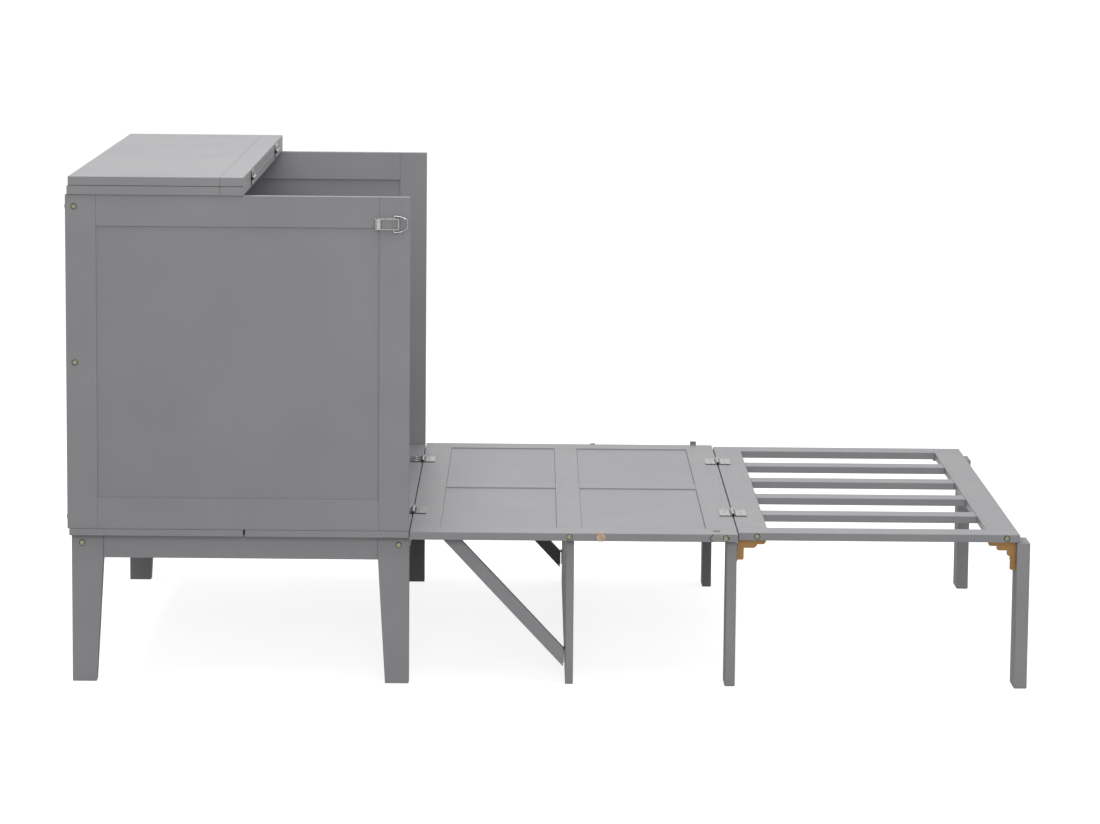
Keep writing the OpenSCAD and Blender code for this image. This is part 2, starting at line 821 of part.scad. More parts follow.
module frame_rails() color(PAINT_TOP) stand() both_sides() difference() {
  translate([frame_x, -frame_half, deck_under]) board([frame_length, frame_rail, deck_thick]);
  frame_bolt_places() bolt_seat(bolt_sink);
}

frame_inner = 2 * (frame_half - frame_rail);

module frame_crossbars() color(PAINT_TOP) stand() translate([frame_x, -frame_inner / 2, deck_under]) {
  board([rear_crossbar, frame_inner, deck_thick]);
  translate([frame_length - foot_crossbar, 0, 0]) board([foot_crossbar, frame_inner, deck_thick]);
}

module bed_slats() color(PAINT_TOP) stand() {
  pitch = (frame_inner + slat_width) / (slat_count + 1);
  for (i = [1 : slat_count]) {
    translate([frame_x + rear_crossbar, -frame_inner / 2 + i * pitch - slat_width, deck_under])
      board([frame_length - rear_crossbar - foot_crossbar, slat_width, deck_thick - slat_drop]);
  }
}

module frame_bolts() color(BRASS) stand() both_sides() frame_bolt_places() seated_bolt(bolt_sink);

// End legs and their folding brackets. Bracket outlines start at the leg's face, with u
// along the rail and w upward from the rail's underside.

module end_leg(thick) board([thick, end_leg_depth, deck_under - seat_gap], end_leg_ease);

module end_leg_rear() color(PAINT) stand()
  translate([rear_leg_face - rear_leg_thick, -frame_half, 0]) end_leg(rear_leg_thick);

module end_leg_foot() color(PAINT) stand()
  translate([foot_leg_face, -frame_half, 0]) end_leg(foot_leg_thick);

module end_leg_rear_left() end_leg_rear();
module end_leg_rear_right() mirror([0, 1, 0]) end_leg_rear();
module end_leg_foot_left() end_leg_foot();
module end_leg_foot_right() mirror([0, 1, 0]) end_leg_foot();

plate_y = -frame_half + bracket_in;
flange_thick = 1.5;

// Rear bracket outline: a long arm that steps up in two rounded lobes
module rear_web_outline() {
  start = rear_leg_reach + seat_gap;
  step = 8;
  turn = 5;
  difference() {
    union() {
      translate([start, turn - 19]) square([rear_lobe - start, 19 - turn]);
      translate([start + turn, -19]) square([rear_lobe - start - turn, 19]);
      translate([start + turn, turn - 19]) circle(r = turn);
      translate([rear_lobe, -19 + step]) scale([9, step]) circle(r = 1);
      translate([start, -11.5]) square([bracket_long + rear_leg_reach - step - start, 11.5]);
      translate([bracket_long + rear_leg_reach - step, -11.5 + step]) circle(r = step);
    }
    translate([0, 0]) square([2 * bracket_long, bracket_long]);
  }
}

// Foot bracket outline: four rounded steps down to the leg
module foot_web_outline() {
  steps = [[bracket_long, 10.5], [40, 19.5], [19, 31], [13, bracket_high]];
  corner = 6;
  turn = 5;
  difference() {
    union() {
      for (s = steps) {
        translate([seat_gap + turn, -s[1]]) square([s[0] - corner - seat_gap - turn, s[1]]);
        translate([s[0] - corner, -s[1] + corner]) circle(r = corner);
        translate([seat_gap, -s[1] + corner]) square([s[0] - seat_gap, s[1] - corner]);
      }
      translate([seat_gap + turn, -bracket_high + turn]) circle(r = turn);
    }
    square([2 * bracket_long, bracket_long]);
  }
}

// Rivet through both plates; the plates' meeting face is y = 0
module rivet() {
  reach = 2 * bracket_thick + 2 * plate_gap;
  rotate([90, 0, 0]) {
    cylinder(h = reach, r = rivet_radius, center = true);
    for (s = [-1, 1]) {
      translate([0, 0, s * (reach + head_thick) / 2])
        cylinder(h = head_thick, r = rivet_radius + head_thick, center = true);
    }
  }
}

// Fixed bracket under the rail: web, flange and rivet; the web lies towards +Y of y = 0
module bracket_web(off, drop, flange_from, flange_to) {
  difference() {
    translate([0, plate_gap / 2, 0]) upright_plate(bracket_thick) children();
    translate([off, 0, -drop]) rotate([90, 0, 0])
      cylinder(h = 6 * bracket_thick, r = rivet_radius + pin_fit, center = true);
  }
  translate([flange_from, plate_gap / 2 + bracket_thick, -flange_thick])
    cube([flange_to - flange_from, bracket_flange, flange_thick]);
}

// Plate on the leg: an ear round the rivet and a flange screwed to the leg's inner face
module leg_plate(off, drop, wide, low, eye) {
  top = -drop;
  difference() {
    union() {
      translate([0, -plate_gap / 2 - bracket_thick, 0]) upright_plate(bracket_thick) {
        translate([off, top]) circle(r = eye);
        translate([0, top - off]) square([off, off]);
        difference() {
          translate([0, -low]) square([wide, low - drop]);
          translate([wide - 4, -low]) difference() {
            square([5, 4]);
            translate([0, 4]) circle(r = 4);
          }
        }
      }
      translate([0, -plate_gap / 2 - bracket_thick - bracket_flange, -low])
        cube([flange_thick, bracket_flange, low - drop - off]);
    }
    translate([off, 0, -drop]) rotate([90, 0, 0])
      cylinder(h = 6 * bracket_thick, r = rivet_radius + pin_fit, center = true);
  }
}

module rear_corner() stand() translate([rear_leg_face, plate_y, deck_under]) children();
module foot_corner() stand() translate([foot_leg_face, plate_y, deck_under]) mirror([1, 0, 0])
  mirror([0, 1, 0]) children();

module rear_leg_brackets() color(BRACKET) both_sides() rear_corner() {
  bracket_web(rear_pivot_off, rear_pivot_drop, rear_leg_reach + seat_gap, bracket_long)
    rear_web_outline();
  translate([rear_pivot_off, 0, -rear_pivot_drop]) rivet();
}

module foot_leg_brackets() color(BRACKET) both_sides() foot_corner() {
  bracket_web(foot_pivot_off, foot_pivot_drop, seat_gap + foot_leg_out, bracket_long)
    foot_web_outline();
  translate([foot_pivot_off, 0, -foot_pivot_drop]) rivet();
}

module leg_plate_rear() color(BRACKET) rear_corner()
  leg_plate(rear_pivot_off, rear_pivot_drop, rear_pivot_off + 6, bracket_high + 1, 8);

module leg_plate_foot() color(BRACKET) foot_corner()
  leg_plate(foot_pivot_off, foot_pivot_drop, 2 * foot_pivot_off, bracket_high + 18, 5.5);

module leg_plate_rear_left() leg_plate_rear();
module leg_plate_rear_right() mirror([0, 1, 0]) leg_plate_rear();
module leg_plate_foot_left() leg_plate_foot();
module leg_plate_foot_right() mirror([0, 1, 0]) leg_plate_foot();

// Support board under the door's middle stile, hinged to fold up towards the foot

support_half = half - support_side_inset;

module support_board() color(PAINT) stand() translate([support_x, -support_half, 0])
  board([support_thick, 2 * support_half, deck_under - seat_gap]);

module support_hinges() stand() for (y = [-hinge_y, hinge_y]) {
  translate([support_face + pin_lift, y, deck_under - pin_lift]) children();
}

module support_hinge_door_leaves() color(STEEL) support_hinges() rotate([180, 0, 0]) {
  hinge_leaf(deck_hinge_length, support_leaf_reach, true);
  hinge_pin(deck_hinge_length);
}

module support_hinge_board_leaves() color(STEEL) support_hinges() rotate([0, 90, 0])
  hinge_leaf(deck_hinge_length, support_leaf_reach, false);

// Braces: square cuts upright at the board and level under the door
brace_knuckle = 1.9;
brace_leaf = 1.3;
brace_pin = 0.9;
brace_lift = brace_knuckle + knuckle_gap;
brace_foot_x = support_x - 2 * brace_lift;
brace_y = half - brace_side_inset;
brace_top_corner = brace_low + brace_width / cos(brace_slope);
brace_top = deck_under - seat_gap;

module brace() color(PAINT) stand() translate([0, -brace_y, 0]) upright_plate(brace_thick) polygon([
  [brace_foot_x, brace_low],
  [brace_foot_x, brace_top_corner],
  [brace_foot_x - (brace_top - brace_top_corner) / tan(brace_slope), brace_top],
  [brace_foot_x - (brace_top - brace_low) / tan(brace_slope), brace_top]
]);

module brace_left() brace();
module brace_right() mirror([0, 1, 0]) brace();

// Small hinges between the braces' lower ends and the board
brace_leaf_reach = 30;

module brace_hinge(side) stand()
  translate([brace_foot_x + brace_lift, side * (brace_y - brace_thick / 2), brace_top_corner])
    children();

module small_leaf(ends)
  hinge_leaf(brace_thick, brace_leaf_reach, ends, brace_knuckle, brace_pin, brace_leaf, 0);

module brace_hinge_board_leaves() color(STEEL) for (side = [-1, 1]) brace_hinge(side) {
  rotate([0, 90, 0]) mirror([0, 0, 1]) small_leaf(true);
  hinge_pin(brace_thick, brace_pin);
}

module brace_leaf_left() color(STEEL) brace_hinge(-1) rotate([0, 90, 0]) small_leaf(false);
module brace_leaf_right() color(STEEL) brace_hinge(1) rotate([0, 90, 0]) small_leaf(false);

base_leg_rear_left();
base_leg_rear_right();
base_leg_front_left();
base_leg_front_right();
side_aprons();
cross_members();
floor_board_rear();
floor_board_front();
side_frame_left();
side_panel_left();
side_frame_right();
side_panel_right();
back_frame();
back_panel();
lid_rear_board();
lid_rear_cleat();
lid_hinge_rear_leaves();
door_hinge_cabinet_leaves();
cabinet_bolts();
latch_base_left();
latch_base_right();
lid_front_board();
lid_front_cleat();
lid_hinge_front_leaves();
latch_lever_left();
latch_lever_right();
latch_loop_left();
latch_loop_right();
door_rails();
door_stiles();
door_mid_rails();
door_panels();
door_hinge_door_leaves();
frame_hinge_door_leaves();
support_hinge_door_leaves();
keepers();
hex_bolts();
door_bolts();
frame_rails();
frame_crossbars();
bed_slats();
frame_hinge_frame_leaves();
frame_bolts();
rear_leg_brackets();
foot_leg_brackets();
end_leg_rear_left();
end_leg_rear_right();
end_leg_foot_left();
end_leg_foot_right();
leg_plate_rear_left();
leg_plate_rear_right();
leg_plate_foot_left();
leg_plate_foot_right();
support_board();
support_hinge_board_leaves();
brace_hinge_board_leaves();
brace_left();
brace_right();
brace_leaf_left();
brace_leaf_right();
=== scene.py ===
import math

import bpy
import numpy as np
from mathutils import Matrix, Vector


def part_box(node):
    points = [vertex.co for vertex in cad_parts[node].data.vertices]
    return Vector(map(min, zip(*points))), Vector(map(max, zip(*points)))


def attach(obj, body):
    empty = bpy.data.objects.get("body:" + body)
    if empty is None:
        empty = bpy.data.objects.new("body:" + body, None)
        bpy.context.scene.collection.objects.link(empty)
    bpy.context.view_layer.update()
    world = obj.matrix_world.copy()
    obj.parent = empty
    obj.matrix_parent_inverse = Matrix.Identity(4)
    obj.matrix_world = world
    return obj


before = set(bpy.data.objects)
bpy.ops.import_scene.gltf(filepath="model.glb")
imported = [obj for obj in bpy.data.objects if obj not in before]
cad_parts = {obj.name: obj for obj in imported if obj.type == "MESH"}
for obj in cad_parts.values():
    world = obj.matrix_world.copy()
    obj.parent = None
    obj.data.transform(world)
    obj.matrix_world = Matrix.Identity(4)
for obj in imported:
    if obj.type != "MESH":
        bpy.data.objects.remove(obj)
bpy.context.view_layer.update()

# Base: four tapered legs and the aprons between them, with a bearer under the floor boards.
# Sawn softwood, sanded, sprayed with two coats of satin grey lacquer paint and bolted together.


def linear(hexa):
    """Linear colour of an sRGB hex value: ((c + 0.055) / 1.055) to the power 2.4, or c / 12.92 when dark."""
    c = np.array([int(hexa[i : i + 2], 16) for i in (1, 3, 5)]) / 255
    c = np.where(c > 0.04045, ((c + 0.055) / 1.055) ** 2.4, c / 12.92)
    return (*c.tolist(), 1.0)


def add(tree, kind, settings=(), inputs=()):
    """Adds one shader node with its settings. Each input is a value to set, or the socket that feeds it."""
    made = tree.nodes.new("ShaderNode" + kind)
    for name, value in dict(settings).items():
        setattr(made, name, value)
    for name, value in dict(inputs).items():
        if isinstance(value, bpy.types.NodeSocket):
            tree.links.new(value, made.inputs[name])
        else:
            made.inputs[name].default_value = value
    return made


def finish(name):
    """A material with an empty node tree, ready for its finish."""
    made = bpy.data.materials.new(name)
    made.use_nodes = True
    made.node_tree.nodes.clear()
    return made, made.node_tree


def dress(material, slot, *names):
    """Gives a finish to CAD nodes. The slot, the record's slot that they belong to, is not used."""
    for name in names:
        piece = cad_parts[name]
        piece.data.materials.clear()
        piece.data.materials.append(material)


def satin_paint(name, along, tones, shine=0.5):
    """Sprayed lacquer paint on wood: the grain shows through as low ridges that run along one axis. The
    tone goes from the first to the second with a quarter of the grain's height plus a slow cloud's."""
    # Grain ridges are 4 mm apart and about 110 mm long, the spray's orange peel is 1.6 mm wide, and the
    # paint's cloud of thicker and thinner places is 160 mm
    ridge_spacing, ridge_squeeze, ridge_height = 0.004, 0.035, 0.00005
    peel_width, peel_height, cloud_width = 0.0016, 0.00003, 0.16
    rough_low, rough_high = 0.43, 0.50
    made, tree = finish(name)
    place = add(tree, "TexCoord").outputs["Object"]
    squeeze = [1.0, 1.0, 1.0]
    squeeze[along] = ridge_squeeze
    run = add(tree, "Mapping", inputs={"Vector": place, "Scale": squeeze}).outputs["Vector"]
    grain = add(
        tree, "TexNoise", inputs={"Vector": run, "Scale": 1 / ridge_spacing, "Detail": 5.0, "Roughness": 0.6}
    ).outputs["Fac"]
    peel = add(tree, "TexNoise", inputs={"Vector": place, "Scale": 1 / peel_width, "Detail": 2.0})
    cloud = add(tree, "TexNoise", inputs={"Vector": place, "Scale": 1 / cloud_width, "Detail": 3.0})
    thick = add(tree, "Math", {"operation": "MULTIPLY_ADD"}, {0: grain, 1: 0.25, 2: cloud.outputs["Fac"]})
    tone = add(tree, "ValToRGB", inputs={"Fac": thick.outputs["Value"]})
    for stop, at, colour in zip(tone.color_ramp.elements, (0.45, 0.9), tones):
        stop.position, stop.color = at, linear(colour)
    gloss = add(
        tree,
        "MapRange",
        inputs={"Value": grain, "From Min": 0.3, "From Max": 0.7, "To Min": rough_low, "To Max": rough_high},
    )
    ridge = add(tree, "Bump", inputs={"Height": grain, "Strength": 0.3, "Distance": ridge_height})
    skin = add(
        tree,
        "Bump",
        inputs={
            "Height": peel.outputs["Fac"],
            "Normal": ridge.outputs["Normal"],
            "Strength": 0.3,
            "Distance": peel_height,
        },
    )
    face = add(
        tree,
        "BsdfPrincipled",
        inputs={
            "Base Color": tone.outputs["Color"],
            "Roughness": gloss.outputs["Result"],
            "Normal": skin.outputs["Normal"],
            "IOR": 1.48,
            "Specular IOR Level": shine,
        },
    )
    add(tree, "OutputMaterial", inputs={"Surface": face.outputs["BSDF"]})
    return made


# Satin lacquer paint is a dielectric of IOR 1.48 with a soft sheen, which pales flat tops seen low.
# Upright boards are sprayed drier, so that the paint doesn't run, and shine less; their tone is painted paler,
# as painted light in place of the lost sheen.
flat_tones, upright_tones_painted_paler, dry_shine = ("#807F82", "#868587"), ("#8F8E91", "#959496"), 0.02
paint_upright = satin_paint("satin_grey_paint_grain_upright", 2, upright_tones_painted_paler, dry_shine)
paint_long = satin_paint("satin_grey_paint_grain_long", 0, flat_tones)
paint_across = satin_paint("satin_grey_paint_grain_across", 1, flat_tones)

dress(
    paint_upright,
    "painted_wood",
    "base_leg_rear_left",
    "base_leg_rear_right",
    "base_leg_front_left",
    "base_leg_front_right",
)
dress(paint_long, "painted_wood", "side_aprons")
dress(paint_across, "painted_wood", "cross_members")

# Cabinet floor: two wide boards that lie on the base and reach out to the platform's edge.
# Glued softwood boards with the same paint, their grain across the bed.

dress(paint_across, "painted_wood", "floor_board_rear", "floor_board_front")

# Case: left, right and back frames of stiles and rails, each round a thin panel in a groove.
# Solid wood frames and fibreboard panels, all sprayed when assembled.

dress(paint_upright, "painted_wood", "side_frame_left", "side_frame_right", "back_frame")

# Fibreboard drinks the first coat, so its paint is a shade darker than the frame's.
panel_tones = ("#7F7E82", "#848386")
panel_paint = satin_paint("satin_grey_paint_fibreboard", 2, panel_tones)
dress(panel_paint, "painted_wood", "side_panel_left", "side_panel_right", "back_panel")

# Lid: a fixed rear leaf on the case and a leaf that folds back on it, each a board and a cleat.
# Painted like the case, with the boards' grain across the bed.

dress(paint_across, "painted_wood", "lid_rear_board", "lid_rear_cleat", "lid_front_board", "lid_front_cleat")

# Door, the first part of the platform: long rails, cross stiles, a middle rail and four panels.
# Painted softwood frame with fibreboard panels let into grooves.

dress(paint_long, "painted_wood", "door_rails", "door_mid_rails")
dress(paint_across, "painted_wood", "door_stiles")

# The x of each line of painted shade beside a stile, and how far it reaches.
panel_tongue, mid_stile_along, mid_stile_width, fine, wide = 0.007, 0.2965, 0.051, 0.0007, 0.0012
mid_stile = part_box("door_stiles")[0].x + mid_stile_along
painted_crease_lines = {
    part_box("door_panels")[0].x + panel_tongue: fine,
    mid_stile: fine,
    mid_stile + mid_stile_width: fine,
    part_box("door_panels")[1].x - panel_tongue: wide,
}


def second_tone(material, colour, mask):
    """Lays a second colour over a finish where the mask, which is made from Object coordinates, is 1."""
    tree = material.node_tree
    face = next(node for node in tree.nodes if node.type == "BSDF_PRINCIPLED")
    under = face.inputs["Base Color"].links[0].from_socket
    place = add(tree, "TexCoord").outputs["Object"]
    # A colour Mix node takes its share at input 0 and its colours at 6 and 7, and gives output 2
    tone = add(tree, "Mix", {"data_type": "RGBA"}, {0: mask(tree, place), 6: under, 7: linear(colour)})
    tree.links.new(tone.outputs[2], face.inputs["Base Color"])


def in_crease_painted_shade(tree, place):
    """1, where shade is painted, where the distance along the bed to a stile's edge is less than that crease's
    reach.
    """
    x = add(tree, "SeparateXYZ", inputs={"Vector": place}).outputs["X"]
    painted_light_mask = 0.0
    for crease, reach in painted_crease_lines.items():
        near = add(tree, "Math", {"operation": "COMPARE"}, {0: x, 1: crease, 2: reach}).outputs["Value"]
        painted_light_mask = add(tree, "Math", {"operation": "MAXIMUM"}, {0: painted_light_mask, 1: near}).outputs["Value"]
    return painted_light_mask


# Lines of painted shade, darker than the panel, are painted on the panels where each meets a stile.
door_panel_paint = satin_paint("satin_grey_paint_door_panels", 2, panel_tones)
second_tone(door_panel_paint, "#3C3C3E", in_crease_painted_shade)
dress(door_panel_paint, "painted_wood", "door_panels")

# Slatted frame, the second part: side rails, two crossbars and four slats along the bed.
# Painted softwood, bolted at the corners, with the slats' tops a little below the rails'.

dress(paint_long, "painted_wood", "frame_rails", "bed_slats")
dress(paint_across, "painted_wood", "frame_crossbars")

# End legs, support board and braces: painted softwood that folds under the platform.
# The legs and braces are dressed as upright boards, and the support board has its grain across the bed.

dress(
    paint_upright,
    "painted_wood",
    "end_leg_rear_left",
    "end_leg_rear_right",
    "end_leg_foot_left",
    "end_leg_foot_right",
    "brace_left",
    "brace_right",
)
paint_under = satin_paint("satin_grey_paint_support_board", 1, upright_tones_painted_paler, dry_shine)
dress(paint_under, "painted_wood", "support_board")

# Hinges: leaves pressed from strip steel, with knuckles rolled round a pin.
# Plated with satin nickel, which leaves fine rolling lines and a soft bright sheen.


def plated(name, tones, rough, line, edge, pins=(), crease=0.0):
    """Plated metal. A slow cloud takes its tone from dull to bright, and gloss and skin follow rolling
    lines at the given spacing. The edge is painted light: a colour, darker for painted shade or paler
    for a painted highlight, and the sizes of the normal's part across the bed at which it starts and is
    full. It also paints shade in a ring round each pin, a line across the bed given by its x and z,
    where the distance from that line differs by less than ring_half from the crease's."""
    # Real rolling lines are about 0.1 mm apart, too fine to show, so they are drawn 0.4 to 0.8 mm apart
    cloud_width, line_height, ring_half = 0.006, 0.00003, 0.0014
    line_squeeze, rough_low, rough_high = (1.0, 0.06, 0.4), rough - 0.06, rough + 0.08
    edge_colour, edge_start, edge_full = edge
    made, tree = finish(name)
    lie = add(tree, "TexCoord")
    place = lie.outputs["Object"]
    run = add(tree, "Mapping", inputs={"Vector": place, "Scale": line_squeeze}).outputs["Vector"]
    lines = add(tree, "TexNoise", inputs={"Vector": run, "Scale": 1 / line, "Detail": 4.0}).outputs["Fac"]
    cloud = add(tree, "TexNoise", inputs={"Vector": place, "Scale": 1 / cloud_width, "Detail": 3.0})
    tone = add(tree, "ValToRGB", inputs={"Fac": cloud.outputs["Fac"]})
    tone.color_ramp.elements.new(0.8)
    for stop, at, colour in zip(tone.color_ramp.elements, (0.3, 0.6, 0.8), tones):
        stop.position, stop.color = at, linear(colour)
    way = add(tree, "SeparateXYZ", inputs={"Vector": lie.outputs["Normal"]}).outputs["Y"]
    way = add(tree, "Math", {"operation": "ABSOLUTE"}, {0: way}).outputs["Value"]
    painted_light_mask = add(tree, "MapRange", inputs={"Value": way, "From Min": edge_start, "From Max": edge_full})
    painted_light_mask = painted_light_mask.outputs["Result"]
    for x, z in pins:
        flat = add(tree, "VectorMath", {"operation": "MULTIPLY"}, {0: place, 1: (1, 0, 1)})
        far = add(tree, "VectorMath", {"operation": "DISTANCE"}, {0: flat.outputs["Vector"], 1: (x, 0, z)})
        ring = add(tree, "Math", {"operation": "COMPARE"}, {0: far.outputs["Value"], 1: crease, 2: ring_half})
        painted_light_mask = add(tree, "Math", {"operation": "MAXIMUM"}, {0: painted_light_mask, 1: ring.outputs["Value"]}).outputs["Value"]
    shade = add(
        tree, "Mix", {"data_type": "RGBA"}, {0: painted_light_mask, 6: tone.outputs["Color"], 7: linear(edge_colour)}
    )
    gloss = add(
        tree,
        "MapRange",
        inputs={"Value": lines, "From Min": 0.3, "From Max": 0.7, "To Min": rough_low, "To Max": rough_high},
    )
    skin = add(tree, "Bump", inputs={"Height": lines, "Strength": 0.4, "Distance": line_height})
    face = add(
        tree,
        "BsdfPrincipled",
        inputs={
            "Base Color": shade.outputs[2],
            "Roughness": gloss.outputs["Result"],
            "Normal": skin.outputs["Normal"],
            "Metallic": 1.0,
        },
    )
    add(tree, "OutputMaterial", inputs={"Surface": face.outputs["BSDF"]})
    return made


# Satin nickel is a pale metal whose rolling lines spread its reflections along the leaf. Its ends, which
# face across the bed, and a ring beside each knuckle are painted darker, as painted shade.
deck_leaf_reach, pin_lift, lid_pin_rise, knuckle_crease = 0.028, 0.0033, 0.00045, 0.0052
deck_under, deck_top = (corner.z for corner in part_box("door_rails"))
door_pin_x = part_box("door_hinge_cabinet_leaves")[0].x + deck_leaf_reach
frame_pin_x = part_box("frame_hinge_frame_leaves")[1].x - deck_leaf_reach
lid_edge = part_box("lid_rear_cleat")[1]
lid_pin_z = lid_edge.z + lid_pin_rise
pins = [
    (door_pin_x, deck_top + pin_lift),
    (frame_pin_x, deck_top + pin_lift),
    (lid_edge.x + pin_lift, lid_pin_z),
]
hinge_nickel = plated(
    "satin_nickel_plated_steel",
    ("#939395", "#9F9FA1", "#B1B1B3"),
    0.34,
    0.0005,
    ("#2E2E30", 0.5, 0.8),
    pins,
    knuckle_crease,
)
dress(
    hinge_nickel,
    "nickel_steel",
    "lid_hinge_rear_leaves",
    "lid_hinge_front_leaves",
    "door_hinge_cabinet_leaves",
    "door_hinge_door_leaves",
    "frame_hinge_door_leaves",
    "frame_hinge_frame_leaves",
    "support_hinge_door_leaves",
    "support_hinge_board_leaves",
    "brace_hinge_board_leaves",
    "brace_leaf_left",
    "brace_leaf_right",
)

# Draw latches: a pressed base, a channel-shaped lever with a turned-up finger tip, and a wire loop.
# Nickel-plated steel: base and lever are barrel-plated and dull, and the drawn wire shines.

# The base's faces that don't face out from the case are painted darker, as painted shade round its sides.
latch_nickel = plated(
    "nickel_plated_latch_steel", ("#78787A", "#8A8A8B", "#A2A2A3"), 0.34, 0.0006, ("#3E3E3F", 0.8, 0.4)
)
dress(latch_nickel, "nickel_steel", "latch_base_left", "latch_base_right")

channel_floor, channel_rim = 0.5321, 0.5337


def in_channel_painted_shade(tree, place):
    """1 on the floor of the lever's channel and 0 at its rim, by the distance from the bed's middle."""
    y = add(tree, "SeparateXYZ", inputs={"Vector": place}).outputs["Y"]
    out = add(tree, "Math", {"operation": "ABSOLUTE"}, {0: y}).outputs["Value"]
    limits = {"Value": out, "From Min": channel_rim, "From Max": channel_floor}
    return add(tree, "MapRange", {"interpolation_type": "SMOOTHSTEP"}, limits).outputs["Result"]


# The channel's hollow is painted darker than its rims, and the lever's sides too: painted shade.
lever_nickel = plated(
    "nickel_plated_lever_steel", ("#7E7E7F", "#8C8C8D", "#A0A0A1"), 0.38, 0.0006, ("#3A3A3B", 0.6, 0.3)
)
second_tone(lever_nickel, "#616160", in_channel_painted_shade)
dress(lever_nickel, "nickel_steel", "latch_lever_left", "latch_lever_right")

# The wire's faces that don't face out from the case are painted much darker, as painted shade that outlines the
# loop.
loop_nickel = plated(
    "nickel_plated_spring_wire", ("#9C9C9D", "#B2B2B3", "#CACACB"), 0.22, 0.0004, ("#1C1C1E", 0.93, 0.6)
)
dress(loop_nickel, "nickel_steel", "latch_loop_left", "latch_loop_right")

# Keepers: steel plates cut to a point at both ends, with a hook for the latch's loop.
# Zinc-plated and passivated, which dulls to an olive grey, and screwed to the door's edges.

keeper_low, keeper_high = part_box("keepers")
keeper_half_length, keeper_half_height, rim_width = (keeper_high.x - keeper_low.x) / 2, 0.0075, 0.0022
hook_face, lip_height = 0.5309, 0.0014


def on_rim_painted_shade(tree, place):
    """1 at the plate's points, where the distances along and up from its middle add up to more than
    half its length less the rim's width, and below the hook."""
    middle = (keeper_low.x + keeper_half_length, 0, keeper_low.z + keeper_half_height)
    off = add(tree, "VectorMath", {"operation": "SUBTRACT"}, {0: place, 1: middle}).outputs["Vector"]
    off = add(tree, "VectorMath", {"operation": "ABSOLUTE"}, {0: off}).outputs["Vector"]
    off = add(tree, "VectorMath", {"operation": "DOT_PRODUCT"}, {0: off, 1: (1, 0, 1)}).outputs["Value"]
    z = add(tree, "SeparateXYZ", inputs={"Vector": place}).outputs["Z"]
    near = add(tree, "Math", {"operation": "GREATER_THAN"}, {0: off, 1: keeper_half_length - rim_width})
    below = add(tree, "Math", {"operation": "LESS_THAN"}, {0: z, 1: deck_top})
    both = {0: near.outputs["Value"], 1: below.outputs["Value"]}
    return add(tree, "Math", {"operation": "MULTIPLY"}, both).outputs["Value"]


def on_hook_painted_highlight(tree, place):
    """1 above the deck where the distance from the bed's middle is that of the hook's outer face."""
    _, y, z = add(tree, "SeparateXYZ", inputs={"Vector": place}).outputs
    out = add(tree, "Math", {"operation": "ABSOLUTE"}, {0: y}).outputs["Value"]
    outer = add(tree, "Math", {"operation": "GREATER_THAN"}, {0: out, 1: hook_face})
    above = add(tree, "Math", {"operation": "GREATER_THAN"}, {0: z, 1: deck_top})
    both = {0: outer.outputs["Value"], 1: above.outputs["Value"]}
    return add(tree, "Math", {"operation": "MULTIPLY"}, both).outputs["Value"]


def on_lip_painted_shadow(tree, place):
    """1 above the height at which the hook's lip starts."""
    z = add(tree, "SeparateXYZ", inputs={"Vector": place}).outputs["Z"]
    lip = {0: z, 1: keeper_high.z - lip_height}
    return add(tree, "Math", {"operation": "GREATER_THAN"}, lip).outputs["Value"]


# The hook's outer face above the deck is painted pale, a painted highlight, and the plate's points, its sides
# and the lip's top are painted darker, as painted shade and shadow.
keeper_zinc = plated(
    "dull_passivated_zinc", ("#696A66", "#747572", "#828380"), 0.42, 0.0008, ("#3A3A39", 0.75, 0.35)
)
second_tone(keeper_zinc, "#3A3A39", on_rim_painted_shade)
second_tone(keeper_zinc, "#919294", on_hook_painted_highlight)
second_tone(keeper_zinc, "#4A4A49", on_lip_painted_shadow)
dress(keeper_zinc, "nickel_steel", "keepers")

# Hinge screws: cross-head wood screws with a low raised head, three to a leaf.
# Zinc-plated steel, driven until the head's rim lies on the leaf.


def grid_mesh(name, rings, body, material):
    """One closed mesh of several turned shapes. rings holds points by shape, ring and angle, and each
    ring is joined to the next round the axis, so that the first and last ring close on the axis."""
    shapes, count, turns = rings.shape[:3]
    start = np.arange(shapes)[:, None, None] * count * turns
    ring = np.arange(count - 1)[None, :, None] * turns
    step = np.arange(turns)[None, None, :]
    after = (step + 1) % turns
    low, high = start + ring, start + ring + turns
    quads = np.stack([low + step, low + after, high + after, high + step], -1)
    mesh = bpy.data.meshes.new(name)
    mesh.from_pydata(rings.reshape(-1, 3).tolist(), [], quads.reshape(-1, 4).tolist())
    mesh.update()
    mesh.validate()
    mesh.materials.append(material)
    mesh.shade_smooth()
    made = bpy.data.objects.new(name, mesh)
    bpy.context.scene.collection.objects.link(made)
    weld = made.modifiers.new("closed_poles", "WELD")
    weld.merge_threshold = 0.00001
    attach(made, body)
    return made


# Bright zinc is a cool, fairly glossy metal, a little darker than the nickel leaves round it.
# Faces turned square across the bed are painted a little darker, as painted shade.
zinc = plated(
    "zinc_plated_screw_steel", ("#8A8A86", "#A9A9A6", "#BEBEBA"), 0.3, 0.0006, ("#7C7C79", 0.9, 0.98)
)


